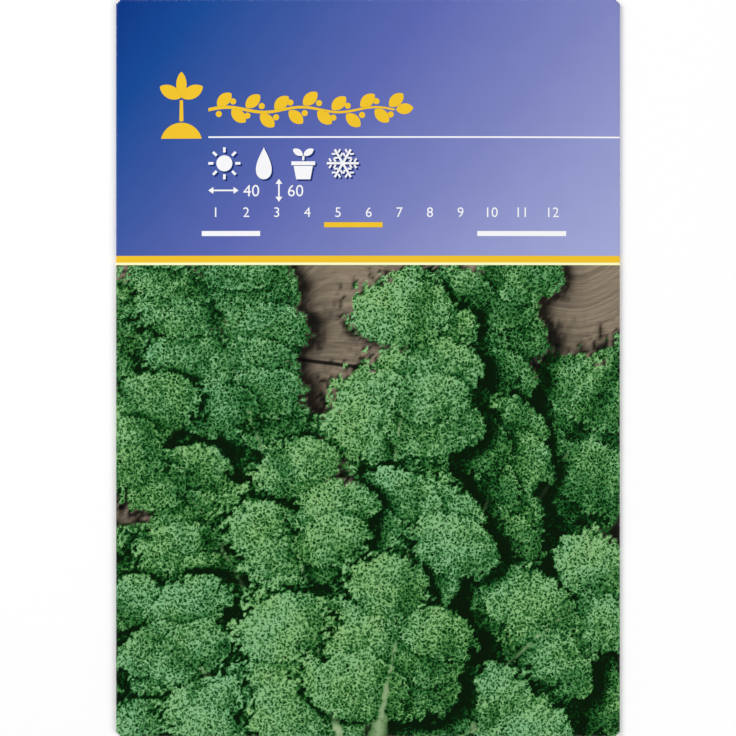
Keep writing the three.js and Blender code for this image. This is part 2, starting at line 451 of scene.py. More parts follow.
def make_paper_group():
    """The uneven surface of paper: its height, its gloss, and its cloudy look against the light."""
    tree = bpy.data.node_groups.new("paper_surface", "ShaderNodeTree")
    tree.interface.new_socket("Place", in_out="INPUT", socket_type="NodeSocketVector")
    for name in ("Height", "Gloss", "Cloud"):
        tree.interface.new_socket(name, in_out="OUTPUT", socket_type="NodeSocketFloat")
    place = tree.nodes.new("NodeGroupInput").outputs["Place"]
    result = tree.nodes.new("NodeGroupOutput").inputs
    nodes = Nodes(tree)
    fibres = nodes.noise(place, 4.5, 3, 0.6)
    felt = nodes.noise(place, 1.1, 2)
    cloud = nodes.noise(place, 0.16, 3, 0.55)
    nodes.feed(result["Height"], fibres * 0.6 + felt * 0.4)
    nodes.feed(result["Gloss"], cloud * 0.6 + felt * 0.4)
    nodes.feed(result["Cloud"], cloud)
    return tree


paper_group = make_paper_group()


def new_material(name):
    material = bpy.data.materials.new(name)
    material.use_nodes = True
    material.node_tree.nodes.clear()
    return material, Nodes(material.node_tree)


def finish_paper(nodes, place, colour, roughness, bump):
    """Lays a colour on paper: faint clouds in the tone, fibres in the surface, and little gloss."""
    surface = nodes.add("Group", {"Place": place}, node_tree=paper_group)
    cloud = Signal(nodes, surface.outputs["Cloud"])
    gloss = Signal(nodes, surface.outputs["Gloss"])
    toned = nodes.add("HueSaturation", {"Color": colour, "Value": cloud * 0.08 + 0.96})
    nodes.finish({
        "Base Color": toned.outputs["Color"],
        "Roughness": gloss * 0.16 + (roughness - 0.08),
        "Specular IOR Level": 0.06,
        "Normal": nodes.relief(surface.outputs["Height"], bump, 0.02),
    })


def make_raw_paper():
    material, nodes = new_material("raw_paper")
    place = nodes.place_in_mm()
    flecks = nodes.noise(place, 1.8, 4, 0.7).rise(0.66, 0.78)
    colour = nodes.mix(flecks, ink(240, 237, 226), ink(214, 206, 186))
    finish_paper(nodes, place, colour, 0.72, 0.6)
    return material


raw_paper = make_raw_paper()


# Outer bag: the header and its bands
# Offset inks, printed before the sheet is cut. The header's blue, a yellow band and a thin cream one
# run round the bag, and below them the back is white. A fine rule is left white in the front's blue.
HEADER_FOOT = 24.46 * MM
YELLOW_FOOT = 22.98 * MM
PRINT_BLUR = 0.04
TEXT_LEFT = -34.8
RULE_LEVEL = 50.32
RULE_WIDTH = 0.34
RULE_LOWEST = 0.62
YELLOW = ink(238, 194, 44)
CREAM = ink(250, 251, 196)
HEADER_STOPS = (
    (0.0, ink(0, 50, 128)),
    (0.2, ink(20, 71, 147)),
    (0.4, ink(60, 87, 160)),
    (0.6, ink(91, 103, 175)),
    (0.8, ink(124, 131, 191)),
    (1.0, ink(162, 168, 214)),
)


def header(nodes, x, y):
    """The header's blue, which lightens from its upper left corner to its lower right."""
    right = x / (2 * HALF_WIDTH / MM) + 0.5
    down = (y * -1 + HALF_HEIGHT / MM) / ((HALF_HEIGHT - HEADER_FOOT) / MM)
    share = right * 1.13 - right * right * 0.33 + down * (right * -0.23 + 0.42) + 0.01
    return nodes.ramp(share, HEADER_STOPS)


def white_rule(x, y, z):
    """1 on the fine rule that runs off the front's right side, and 0 beside it."""
    on_rule = (abs(y - RULE_LEVEL) - RULE_WIDTH / 2).rise(-PRINT_BLUR, PRINT_BLUR).inverse()
    on_front = z.rise(RULE_LOWEST - PRINT_BLUR, RULE_LOWEST + PRINT_BLUR)
    return on_rule * on_front * x.rise(TEXT_LEFT - PRINT_BLUR, TEXT_LEFT + PRINT_BLUR)


def over_line(nodes, y, line, below, above):
    """One colour above a height on the packet and another below it, met in a printer's soft edge."""
    line /= MM
    return nodes.mix(y.rise(line - PRINT_BLUR, line + PRINT_BLUR), below, above)


def worn_folds(nodes, place, colour):
    """Along the folds the ink has thinned a little, in fine flecks."""
    x, y, _ = nodes.axes(place)
    side = abs(x).rise(HALF_WIDTH / MM - 0.5, HALF_WIDTH / MM - 0.05)
    end = abs(y).rise(HALF_HEIGHT / MM - 0.6, HALF_HEIGHT / MM - 0.05)
    flecks = nodes.noise(place, 2.6, 4, 0.75).rise(0.52, 0.66)
    return nodes.mix(flecks * side.maths("MAXIMUM", end) * 0.22, colour, ink(236, 234, 226))


def make_header_print():
    """The header, its bands and the white back."""
    material, nodes = new_material("header_print")
    place = nodes.place_in_mm()
    x, y, z = nodes.axes(place)
    blue = nodes.mix(white_rule(x, y, z), header(nodes, x, y), ink(246, 246, 248))
    colour = over_line(nodes, y, PICTURE_TOP, ink(244, 243, 236), CREAM)
    colour = over_line(nodes, y, YELLOW_FOOT, colour, YELLOW)
    colour = over_line(nodes, y, HEADER_FOOT, colour, blue)
    finish_paper(nodes, place, worn_folds(nodes, place, colour), 0.42, 0.25)
    return material


# Outer bag: the picture
# Below the bands a bunch of curly kale is printed: leaves in tiers, fanned out from stalks at the
# foot, on weathered boards. Each corner of the mesh holds the light and tint of the leaf on top there,
# and how far it is inside the rib, the foliage and the lobes. The inks add the fine curls.
SUN = (-0.62, 0.78)
BUNCH_FOOT = (-1.5, -98)
BLADE_FULLNESS = 1.87
LOBE_INSET = 3
LOBE_STRETCH = 1.5
LARGE_LOBE = 8
SMALL_LOBE = 3.6
DEEP_SHADE = 0.93
SOFT_SHADE = 0.44
FAR = 2

# Tiers of the bunch from back to front: leaf count, spread in degrees, length, half width, brightness.
TIERS = (
    (8, 62, 140, 16, 0.76),
    (7, 70, 113, 16.5, 0.86),
    (6, 66, 89, 16, 0.94),
    (4, 44, 65, 15, 1.0),
)


def rise(value, low, high):
    """The same as eased, for arrays."""
    share = np.clip((value - low) / (high - low), 0, 1)
    return share * share * (3 - 2 * share)


def scatter(column, row, seed):
    """A number from 0 to 1 for each cell of a grid, the same in every run."""
    return np.modf(np.abs(np.sin(column * 127.1 + row * 311.7 + seed * 74.7) * 43758.5453))[0]


def overlapping_lobes(x, y, size, seed, sun, stands):
    """Round lobes set at random that overlap like scales. Stands says how high the lobe of a middle
    lies, less than nothing where the leaf has none. For each place it gives how far it is inside the
    outline of them all, its distance to the nearest rim of a lobe, less than nothing where a higher
    lobe overhangs it, and how much its own lobe and the higher one look towards the sun there."""
    inside, height, sunward = [], [], []
    for across in range(-2, 3):
        for up in range(-2, 3):
            column, row = np.floor(x / size) + across, np.floor(y / size) + up
            middle_x = (column + 0.15 + 0.7 * scatter(column, row, seed)) * size
            middle_y = (row + 0.15 + 0.7 * scatter(column, row, seed + 5)) * size
            radius = (0.62 + 0.34 * scatter(column, row, seed + 9)) * size
            stand = stands(middle_x, middle_y)
            off_x, off_y = x - middle_x, y - middle_y
            inside.append(np.where(stand > 0, radius - np.hypot(off_x, off_y), -20))
            height.append(stand + 0.5 * scatter(column, row, seed + 13))
            sunward.append((off_x * sun[0] + off_y * sun[1]) / radius)
    inside, height, sunward = (np.array(rows) for rows in (inside, height, sunward))
    places = np.arange(len(x))
    top = np.where(inside > 0, height, -1).argmax(axis=0)
    higher = np.where((height > height[top, places]) & (inside < 0), inside, -20)
    over = higher.argmax(axis=0)
    overhang, own = higher[over, places], inside[top, places]
    rim = np.where(-overhang < own, overhang, own)
    return inside.max(axis=0), rim, sunward[top, places], np.minimum(sunward[over, places], 1)


def blade_share(leaf, along):
    """How far along its blade a place on a leaf is, from 0 at the stalk to 1 at the tip."""
    return np.clip((along / leaf["length"] - leaf["stalk"]) / (1 - leaf["stalk"]), 0, 1)


def leaf_rows():
    """Every leaf of the bunch from back to front. Within a tier the outer leaves lie lower."""
    draw = random.Random(31)
    rows = []
    for count, spread, length, width, brightness in TIERS:
        turns = [spread * (2 * i / (count - 1) - 1) for i in range(count)]
        for turn in sorted(turns, key=lambda t: -abs(t) + draw.uniform(0, 30)):
            rows.append({
                "turn": math.radians(turn + draw.uniform(-4, 4)),
                "bend": turn * 0.00004 + draw.uniform(-0.0014, 0.0014),
                "length": length * (1 - 0.3 * abs(turn) / spread) * draw.uniform(0.93, 1.05),
                "width": width * draw.uniform(0.88, 1.12),
                "stalk": draw.uniform(0.2, 0.28),
                "seed": draw.uniform(0, 50),
                "brightness": brightness * draw.uniform(0.85, 1.1),
                "tint": draw.uniform(-1, 1),
            })
    return rows


def lay_leaf(picture, x, y, ruffle, leaf):
    """Lays one leaf over what the picture holds: its blade widens from the stalk, margin and face swell
    in lobes lit from the upper left, and it throws a deep shade on what lies below."""
    along_x, along_y = math.sin(leaf["turn"]), math.cos(leaf["turn"])
    off_x, off_y = x - BUNCH_FOOT[0], y - BUNCH_FOOT[1]
    along = off_x * along_x + off_y * along_y
    across = off_x * along_y - off_y * along_x - leaf["bend"] * along**2
    near = (along > -4) & (along < leaf["length"] + 14) & (np.abs(across) < leaf["width"] + 14)
    x, y, along, across, ruffle = (values[near] for values in (x, y, along, across, ruffle))
    aside = np.abs(across)
    blade = blade_share(leaf, along)

    def stands(middle_x, middle_y):
        """How high a lobe of the blade lies: the margins are lifted over the rib."""
        aside = np.abs(middle_x * LOBE_STRETCH)
        blade = blade_share(leaf, middle_y)
        half_width = leaf["width"] * BLADE_FULLNESS * blade**0.5 * (1 - blade) ** 0.4 - LOBE_INSET
        return np.where(aside < half_width, 0.1 + 0.7 * aside / leaf["width"], -1)

    side_sun = along_y * SUN[0] - along_x * SUN[1]
    tip_sun = along_x * SUN[0] + along_y * SUN[1]
    sun = (side_sun, tip_sun)
    in_lobes = (across / LOBE_STRETCH + ruffle * 3, along - ruffle * 3)
    margin, rim, sunward, over_sunward = overlapping_lobes(
        *in_lobes, LARGE_LOBE, leaf["seed"], sun, stands
    )
    in_lobes = (across - ruffle * 2, along + ruffle * 2)
    _, small_rim, small_sunward, _ = overlapping_lobes(
        *in_lobes, SMALL_LOBE, leaf["seed"] + 20, sun, lambda middle_x, _: np.ones(middle_x.shape)
    )
    blade_edge = margin + ruffle
    stalk_edge = 2.4 - 1.6 * along / leaf["length"] - aside
    stalk_edge -= 60 * np.maximum(along / leaf["length"] - 0.75, 0) + np.maximum(-along, 0)
    edge = np.maximum(blade_edge, stalk_edge)
    cover = rise(edge, -0.2, 0.2)

    form = 0.96 + 0.2 * side_sun * across / leaf["width"]
    dome = form + 0.24 * sunward + 0.2 * small_sunward
    overhung = rise(rim, -4, 0) * (rim < 0) * (0.5 - 0.5 * over_sunward)
    valley = 0.56 + 0.44 * rise(aside, 0, 3.8)
    light = dome * (1 - 0.45 * overhung) * valley * (0.8 + 0.26 * blade)
    rib_half = 1.05 - 1.5 * blade + 0.9 * ruffle
    rib = np.maximum(rib_half - aside, -blade_edge)
    rounded = 0.95 - 0.5 * rise(aside, 0, 2.2)
    on_rib = rise(rib, -0.3, 0.3)
    light = (light * (1 - on_rib) + rounded * on_rib) * leaf["brightness"]

    at_tip = rise(blade, 0.7, 1)
    towards_sun = np.sign(across) * side_sun * (1 - at_tip) + tip_sun * at_tip
    reach = (2.5 - 1.9 * towards_sun) * (1 + 0.9 * ruffle)
    deep_shade = DEEP_SHADE * rise(edge, -reach, -0.3 * reach)
    soft_shade = SOFT_SHADE * rise(edge, -2.5 * reach, 0)
    picture["light"][near] *= (1 - deep_shade) * (1 - soft_shade)
    below = picture["rim"][near]
    picture["rim"][near] = np.where((edge < 0) & (-edge < np.abs(below)), edge, below)
    rib, rim, small_rim, edge = (np.clip(values, -FAR, FAR) for values in (rib, rim, small_rim, edge))
    top = {"light": light, "tint": leaf["tint"], "rib": rib, "rim": rim, "small_rim": small_rim}
    for name, value in top.items():
        picture[name][near] += (value - picture[name][near]) * cover
    picture["edge"][near] = np.maximum(picture["edge"][near], edge)


def kale_bunch(flat):
    """The picture's light and leaf tint at flat places of the sheet, and how far each place is inside
    a rib or stalk, the foliage, a large lobe and a small one, in millimetres."""
    bare = {"light": 1, "tint": 0, "rib": -FAR, "edge": -FAR, "rim": FAR, "small_rim": FAR}
    picture = {name: np.full(len(flat), float(value)) for name, value in bare.items()}
    ruffle = np.zeros(len(flat))
    for index, (x, y) in enumerate(flat):
        fine = noise.noise(Vector((x * 0.9, y * 0.9, 2)))
        ruffle[index] = 0.6 * fine + 0.5 * noise.noise(Vector((x * 0.35, y * 0.35, 9)))
    for leaf in leaf_rows():
        lay_leaf(picture, flat[:, 0], flat[:, 1], ruffle, leaf)
    return picture


PLANK_WIDTH = 31.0
PLANK_TURN = 7
WOOD_STOPS = (
    (0.22, ink(86, 78, 66)),
    (0.4, ink(122, 110, 94)),
    (0.55, ink(144, 130, 110)),
    (0.8, ink(162, 148, 128)),
)


def boards(nodes, place):
    """Weathered planks: wavy grain along each, knots that the grain runs round, and dark joints."""
    turned = nodes.add("Mapping", {"Vector": place, "Rotation": (0, 0, math.radians(PLANK_TURN))}).outputs[0]
    x, y, _ = nodes.axes(turned)
    row = (y / PLANK_WIDTH).maths("FLOOR")
    in_plank = (y / PLANK_WIDTH).maths("FRACT")
    joint = (abs(in_plank - 0.5) - 0.482).rise(0, 0.01)
    knot = nodes.cells(turned, 0.021, "F1").rise(0.05, 0.42).inverse()
    sway = nodes.noise(turned, 0.035, 2)
    rings_at = nodes.add("CombineXYZ", {"X": x * 0.02 + row * 7.3, "Y": y * 0.42 + sway * 9 + knot * 11})
    rings = nodes.noise(rings_at.outputs[0], 1, 3, 0.65)
    fine_at = nodes.add("CombineXYZ", {"X": x * 0.11 + row * 3.1, "Y": y * 2.6 + sway * 12 + knot * 20})
    fine = nodes.noise(fine_at.outputs[0], 1, 3, 0.7)
    wood = nodes.ramp(rings * 0.75 + fine * 0.5 - 0.15, WOOD_STOPS)
    return nodes.mix(joint, wood, ink(34, 30, 25))


GREEN_STOPS = (
    (0.0, ink(0, 20, 0)),
    (0.12, ink(0, 50, 8)),
    (0.3, ink(31, 92, 40)),
    (0.52, ink(71, 127, 70)),
    (0.75, ink(105, 157, 103)),
    (1.0, ink(140, 187, 136)),
)
STALK_STOPS = ((0.0, ink(8, 26, 8)), (0.45, ink(88, 124, 76)), (1.0, ink(164, 188, 142)))
NET_SCALE = 1.3


def under_rim(rim, reach, shade):
    """The light left beside the rim of a higher lobe: full on the lobe, and least just under it."""
    return (rim.rise(-reach, -0.05) * rim.rise(0, 0.12).inverse()) * -shade + 1


def curly_leaves(nodes, place, light, tint, rib, rim, small_rim):
    """The colour of the leaves, and the height of their curls, which the ragged margins follow too. A
    net of curls with bright crests stands over small dark pits."""
    sway = nodes.add("TexNoise", {"Vector": place, "Scale": 0.9, "Detail": 2}).outputs["Color"]
    bend = {0: sway, 1: (1.5, 1.5, 0), 2: place}
    bent = nodes.add("VectorMath", bend, operation="MULTIPLY_ADD").outputs[0]
    net = nodes.cells(bent, NET_SCALE, "F1").rise(0.12, 0.56)
    fine_net = nodes.cells(bent, 2.7, "F1").rise(0.1, 0.56)
    deep_pits = nodes.cells(bent, 0.58, "F1").rise(0.04, 0.3)
    walls = nodes.cells(bent, NET_SCALE, "DISTANCE_TO_EDGE")
    crest = walls.rise(0.02, 0.2).inverse() * fine_net
    clump = nodes.noise(place, 0.36, 2, 0.5, 0.4).rise(0.3, 0.7)
    curl = net * 0.58 + fine_net * 0.42
    relief = (curl * 1.4 - 0.14) * (clump * 0.32 + 0.79) * (deep_pits * 0.6 + 0.4) + clump * 0.04
    ragged = (curl - 0.5) * 0.5
    lifted = (rim + ragged).rise(1.2, 0.1) * (rim + ragged).rise(-0.05, 0.1) * 0.14
    light = light * under_rim(rim + ragged, 1.5, 0.4) * under_rim(small_rim + ragged, 0.8, 0.25) + lifted
    depth = (light + (curl - 0.5) * 0.4).rise(0.1, 0.5)
    tone = light * depth * ((relief * 0.93 + crest * 0.38) * rib.inverse() + rib * 0.75)
    patch = nodes.noise(place, 0.13, 2).rise(0.32, 0.68)
    cast = nodes.mix(tint * 0.3 + patch * 0.6 + 0.2, ink(255, 253, 228), ink(238, 251, 254))
    green = nodes.multiply(nodes.ramp(tone, GREEN_STOPS), cast)
    return nodes.mix(rib * 0.85, green, nodes.ramp(light, STALK_STOPS)), curl


def make_picture_print():
    """The picture's inks: foliage over boards, by what the mesh holds of the bunch."""
    material, nodes = new_material("picture_print")
    place = nodes.place_in_mm()
    names = ("light", "tint", "rib", "edge", "rim", "small_rim")
    drawn = [nodes.signal("Attribute", output="Fac", attribute_name=name) for name in names]
    light, tint, rib, edge, rim, small_rim = drawn
    leaves, curl = curly_leaves(nodes, place, light, tint, rib.rise(-0.12, 0.12), rim, small_rim)
    shaded = nodes.multiply(boards(nodes, place), light)
    cover = (edge + (curl - 0.5) * 1.1).rise(-0.1, 0.15)
    colour = nodes.mix(cover, shaded, leaves)
    finish_paper(nodes, place, worn_folds(nodes, place, colour), 0.42, 0.25)
    return material


def make_bag():
    """The whole sheet, with the picture's light and leaves held in its corners."""
    bm, flat = folded_bag()
    bag = new_piece("paper_bag", bm, [make_header_print(), make_picture_print(), raw_paper])
    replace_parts(bag, "outer_bag")
    in_picture = (np.abs(flat[:, 0]) < WING_LINE / MM + 1) & (flat[:, 1] < PICTURE_TOP / MM + 1)
    for name, drawn in kale_bunch(flat[in_picture]).items():
        values = np.zeros(len(flat))
        values[in_picture] = drawn
        bag.data.attributes.new(name, "FLOAT", "POINT").data.foreach_set("value", values)


make_bag()


# Second printing
# Opaque inks over the header's blue and on the white back: a yellow seedling and sprig, symbols for
# growing and a calendar by month number, and on the back a ruler and blank lines. Each ink is a thin
# film that lies on the paper and follows its rise. Motifs are drawn in millimetres.
INK = 0.012 * MM
SHADOW_LIFT = 0.008 * MM
TOP_LIFT = 0.026 * MM
SHADOW_OFFSET = (0.35, -0.35)
BEND_PITCH = 3
SLIVER = 0.01
DIGIT_HEIGHT = 0.72
LEAF_START = 0.1


def placed_by(x, y, turn):
    """A place on the print, turned by degrees."""
    return Matrix.Translation((x, y, 0)) @ Matrix.Rotation(math.radians(turn), 4, "Z")


def disc(bm, x, y, radius, sides=32):
    made = bmesh.ops.create_circle(
        bm, cap_ends=True, radius=radius, segments=sides, matrix=Matrix.Translation((x, y, 0))
    )
    return made["verts"]


def bar(bm, x, y, length, width, turn=0, end_width=None):
    """A straight bar that runs from a point. Its far end may have a width of its own."""
    end_width = width if end_width is None else end_width
    place = placed_by(x, y, turn)
    for vert in bmesh.ops.create_grid(bm, x_segments=1, y_segments=1, size=0.5)["verts"]:
        along = vert.co.x + 0.5
        vert.co = place @ Vector((along * length, vert.co.y * (width + (end_width - width) * along), 0))


def leaf_shape(bm, x, y, length, width, turn):
    """A pointed leaf that starts just off a point."""
    place = placed_by(x, y, turn)
    for vert in bmesh.ops.create_circle(bm, cap_ends=True, radius=1, segments=20)["verts"]:
        pinch = max(0, 1 - vert.co.x**2) ** 0.25
        along = LEAF_START + (vert.co.x + 1) / 2 * length
        vert.co = place @ Vector((along, vert.co.y * pinch * width / 2, 0))


def digits(bm, text, x, y, height, align="CENTER"):
    """Plain numbers, their foot at y."""
    curve = bpy.data.curves.new("digits", "FONT")
    curve.body = text
    curve.size = height / DIGIT_HEIGHT
    curve.align_x = align
    curve.resolution_u = 4
    writer = bpy.data.objects.new("digits", curve)
    mesh = bpy.data.meshes.new_from_object(writer)
    mesh.transform(Matrix.Translation((x, y, 0)))
    bm.from_mesh(mesh)
    bpy.data.objects.remove(writer)
    bpy.data.curves.remove(curve)
    bpy.data.meshes.remove(mesh)


def sun_symbol(bm, x, y, size):
    disc(bm, x, y, size * 0.25)
    for ray in range(8):
        turn = math.radians(45 * ray)
        start = size * 0.34
        bar(bm, x + start * math.cos(turn), y + start * math.sin(turn), size * 0.16, size * 0.08, 45 * ray)


def water_drop(bm, x, y, size):
    for vert in disc(bm, 0, 0, 1):
        turn = abs(math.atan2(vert.co.x, vert.co.y))
        narrow = math.sin(turn / 2) ** 1.3
        vert.co = (x + vert.co.x * narrow * size * 0.34, y + vert.co.y * size * 0.5, 0)


def potted_seedling(bm, x, y, size):
    bar(bm, x, y - size * 0.5, size * 0.42, size * 0.44, 90, size * 0.6)
    bar(bm, x - size * 0.37, y, size * 0.74, size * 0.12)
    bar(bm, x, y + size * 0.09, size * 0.14, size * 0.07, 90)
    for turn in (32, 148):
        leaf_shape(bm, x, y + size * 0.24, size * 0.36, size * 0.2, turn)


def snowflake(bm, x, y, size):
    half = size * 0.035
    for arm in range(6):
        place = placed_by(x, y, 60 * arm)
        shape = ((0, 0), (1.732 * half, -half), (size / 2, -half), (size / 2, half), (1.732 * half, half))
        bm.faces.new([bm.verts.new(place @ Vector((*point, 0))) for point in shape])
        for side in (-1, 1):
            for start in (0.22, 0.36):
                foot = place @ Vector((size * start, side * half * 1.4, 0))
                bar(bm, foot.x, foot.y, size * 0.12, half * 1.6, 60 * arm + 58 * side)


def span_arrow(bm, x, y, length, turn):
    """An arrow with a head on both ends, from a point."""
    head = 1.1
    place = placed_by(x, y, turn)
    foot = place @ Vector((head, 0, 0))
    bar(bm, foot.x, foot.y, length - 2 * head, 0.35, turn)
    for start, way in ((head, 180), (length - head, 0)):
        foot = place @ Vector((start, 0, 0))
        bar(bm, foot.x, foot.y, head, 1.5, turn + way, 0.02)


def on_front(x, y, lift):
    """A motif on the outer face of the front panel."""
    return Vector((x, y, FRONT_Z + PAPER + front_rise(x, y) + lift))


def on_back(x, y, lift):
    """A motif drawn as read from behind, on the outer face of the wings."""
    return Vector((-x, y, WING_Z - lift))


def make_ink(name, colour):
    """An opaque ink, a little glossier than the paper."""
    material, nodes = new_material(name)
    finish_paper(nodes, nodes.place_in_mm(), colour, 0.4, 0.2)
    return material


def lay_ink(name, bm, surface, lift, material, shift=(0, 0)):
    """Cuts a flat motif so that it can bend, gives it its thickness and lays it on the paper."""
    bmesh.ops.remove_doubles(bm, verts=bm.verts, dist=SLIVER / 10)
    for axis in (0, 1):
        reach = [vert.co[axis] for vert in bm.verts]
        for line in steps(min(reach), max(reach), BEND_PITCH)[1:-1]:
            point, normal = Vector((0, 0, 0)), Vector((0, 0, 0))
            point[axis], normal[axis] = line, 1
            everything = [*bm.verts, *bm.edges, *bm.faces]
            bmesh.ops.bisect_plane(bm, geom=everything, dist=SLIVER, plane_co=point, plane_no=normal)
    bmesh.ops.dissolve_degenerate(bm, dist=SLIVER / 2, edges=bm.edges)
    under = set(bm.verts)
    bmesh.ops.extrude_face_region(bm, geom=list(bm.faces), use_keep_orig=True)
    for vert in bm.verts:
        x, y = (vert.co.x + shift[0]) * MM, (vert.co.y + shift[1]) * MM
        vert.co = surface(x, y, lift if vert in under else lift + INK)
    bmesh.ops.recalc_face_normals(bm, faces=bm.faces)
    new_piece(name, bm, [material], smooth=False)


SEEDLING_X = -40.7
SPRIG_LENGTH = 40.6
SPRIG_LEVEL = 56.3
SPRIG_LEAVES = 13


def seedling_and_sprig(bm):
    """A seedling on its mound, and beside it a long sprig with leaves and berries in turn."""
    disc(bm, SEEDLING_X, 48.9, 4.6, 40)
    mound = [*bm.verts, *bm.edges, *bm.faces]
    bmesh.ops.bisect_plane(bm, geom=mound, plane_co=(0, 50, 0), plane_no=(0, 1, 0), clear_inner=True)
    bar(bm, SEEDLING_X, 53.8, 4.6, 0.9, 90, 0.7)
    for turn, length, width in ((28, 5.2, 2.9), (152, 5.2, 2.9), (90, 5.6, 2.3)):
        leaf_shape(bm, SEEDLING_X, 58.9, length, width, turn)

    def on_stem(along):
        """A place on the sprig's wavy stem, at a share of its length."""
        height = SPRIG_LEVEL + 0.55 * math.sin(along * 5 * math.pi)
        return TEXT_LEFT + SPRIG_LENGTH * along, height

    for vert in bmesh.ops.create_grid(bm, x_segments=60, y_segments=1, size=0.5)["verts"]:
        along = vert.co.x + 0.5
        x, y = on_stem(along)
        vert.co = (x, y + vert.co.y * (0.75 - 0.3 * along), 0)
    leaf_shape(bm, TEXT_LEFT + SPRIG_LENGTH + 0.2, SPRIG_LEVEL, 3.8, 2.4, 6)
    for index in range(SPRIG_LEAVES):
        x, y = on_stem((index + 0.6) / SPRIG_LEAVES)
        side = 1 if index % 2 == 0 else -1
        leaf_shape(bm, x, y + side * 0.42, 4.1, 2.6, side * 42)
        disc(bm, x + 0.4, y - side * 1.3, 0.68, 16)


def growing_symbols(bm, x, y, size, pitch):
    """Sun, water, pot and frost in a row."""
    for index, symbol in enumerate((sun_symbol, water_drop, potted_seedling, snowflake)):
        symbol(bm, x + index * pitch, y, size)


def month_numbers(bm, months):
    for month in range(12):
        digits(bm, str(month + 1), months["x"] + month * months["pitch"], months["y"], months["height"])


def month_bar(bm, months, y, first, last):
    """A bar under the numbers from one month to another."""
    start = months["x"] + (first - 1.5) * months["pitch"] + 0.3
    bar(bm, start, y, (last - first + 1) * months["pitch"] - 0.6, months["bar"])


FRONT_SYMBOLS = {"x": -31.3, "y": 44.6, "size": 7, "pitch": 8.6}
FRONT_MONTHS = {"x": -33.2, "y": 32.9, "pitch": 6.67, "height": 2.2, "bar": 1.1}
SPAN_LEVEL = 37.4
SPAN_HEIGHT = 2.6


def print_header():
    """Symbols with a shadow, spans between plants as plain numbers, and a calendar with bars."""
    yellow, white, shadow = bmesh.new(), bmesh.new(), bmesh.new()
    seedling_and_sprig(yellow)
    for bm in (white, shadow):
        growing_symbols(bm, **FRONT_SYMBOLS)
    span_arrow(white, TEXT_LEFT, 38.7, 6.6, 0)
    digits(white, "40", -27.2, SPAN_LEVEL, SPAN_HEIGHT, "LEFT")
    span_arrow(white, -19.4, 36.2, 5, 90)
    digits(white, "60", -17.6, SPAN_LEVEL, SPAN_HEIGHT, "LEFT")
    month_numbers(white, FRONT_MONTHS)
    month_bar(yellow, FRONT_MONTHS, 31.2, 5, 6)
    for first, last in ((10, 12), (1, 2)):
        month_bar(white, FRONT_MONTHS, 29.3, first, last)
    deep_blue = make_ink("deep_blue_ink", ink(16, 42, 104))
    lay_ink("symbol_shadows", shadow, on_front, SHADOW_LIFT, deep_blue, SHADOW_OFFSET)
    lay_ink("yellow_print", yellow, on_front, TOP_LIFT, make_ink("yellow_ink", YELLOW))
    lay_ink("white_print", white, on_front, TOP_LIFT, make_ink("white_ink", ink(244, 244, 246)))


BACK_SYMBOLS = {"x": 18, "y": 12, "size": 8, "pitch": 9.6}
BACK_MONTHS = {"x": 13.5, "y": -8, "pitch": 3.3, "height": 1.7, "bar": 1.2}
COLUMN_LEFT = 11.8
COLUMN_WIDTH = 39.8
CALENDAR_LINE = 0.15
HAIRLINE = 0.12
NOTE_LINES = 7
NOTE_TOP = -22
NOTE_PITCH = 6
RULER_LEFT = -51.5
RULER_FOOT = -61
RULER_CENTIMETRES = 8


def print_back():
    """Seen from behind: symbols and a calendar, lines to write on, and a ruler."""
    blue, yellow = bmesh.new(), bmesh.new()
    growing_symbols(blue, **BACK_SYMBOLS)
    for index, number in enumerate(("8", "1", "40", "60")):
        digits(blue, number, BACK_SYMBOLS["x"] + index * BACK_SYMBOLS["pitch"], 3, SPAN_HEIGHT)
    month_numbers(blue, BACK_MONTHS)
    bar(blue, COLUMN_LEFT, -9.2, COLUMN_WIDTH, CALENDAR_LINE)
    month_bar(yellow, BACK_MONTHS, -10.6, 5, 6)
    for first, last in ((10, 12), (1, 2)):
        month_bar(blue, BACK_MONTHS, -12.4, first, last)
    for line in range(NOTE_LINES):
        bar(blue, COLUMN_LEFT, NOTE_TOP - line * NOTE_PITCH, COLUMN_WIDTH, HAIRLINE)
    for tick in range(RULER_CENTIMETRES * 10 + 1):
        length = 3.6 if tick % 10 == 0 else 2.6 if tick % 5 == 0 else 1.6
        bar(blue, RULER_LEFT, RULER_FOOT + tick, length, HAIRLINE)
    for centimetre in range(RULER_CENTIMETRES + 1):
        foot = RULER_FOOT - 0.8 + centimetre * 10
        digits(blue, str(centimetre), RULER_LEFT + 4.9, foot, 1.7, "LEFT")
    lay_ink("back_blue_print", blue, on_back, SHADOW_LIFT, make_ink("blue_ink", ink(44, 76, 148)))
    lay_ink("back_yellow_print", yellow, on_back, SHADOW_LIFT, make_ink("back_yellow_ink", YELLOW))


print_header()
print_back()


# Glue
# Three strips of dispersion glue, rolled on and dried between the layers of paper: one down the lap
# seam and one under each flap. They are the solids themselves, with a cloudy cream finish.
def make_glue():
    material, nodes = new_material("dried_glue")
    place = nodes.place_in_mm()
    streaks = nodes.noise(nodes.add("Mapping", {"Vector": place, "Scale": (0.4, 2.5, 1)}).outputs[0], 1.4, 3)
    nodes.finish({
        "Base Color": nodes.mix(streaks.rise(0.35, 0.7), ink(226, 219, 190), ink(244, 240, 222)),
        "Roughness": streaks * 0.3 + 0.32,
        "Normal": nodes.relief(streaks, 0.4, 0.02),
    })
    return material


dried_glue = make_glue()
for name in ("seam_glue", "top_flap_glue", "bottom_flap_glue"):
    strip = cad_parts[name]
    strip.data.materials.clear()
    strip.data.materials.append(dried_glue)


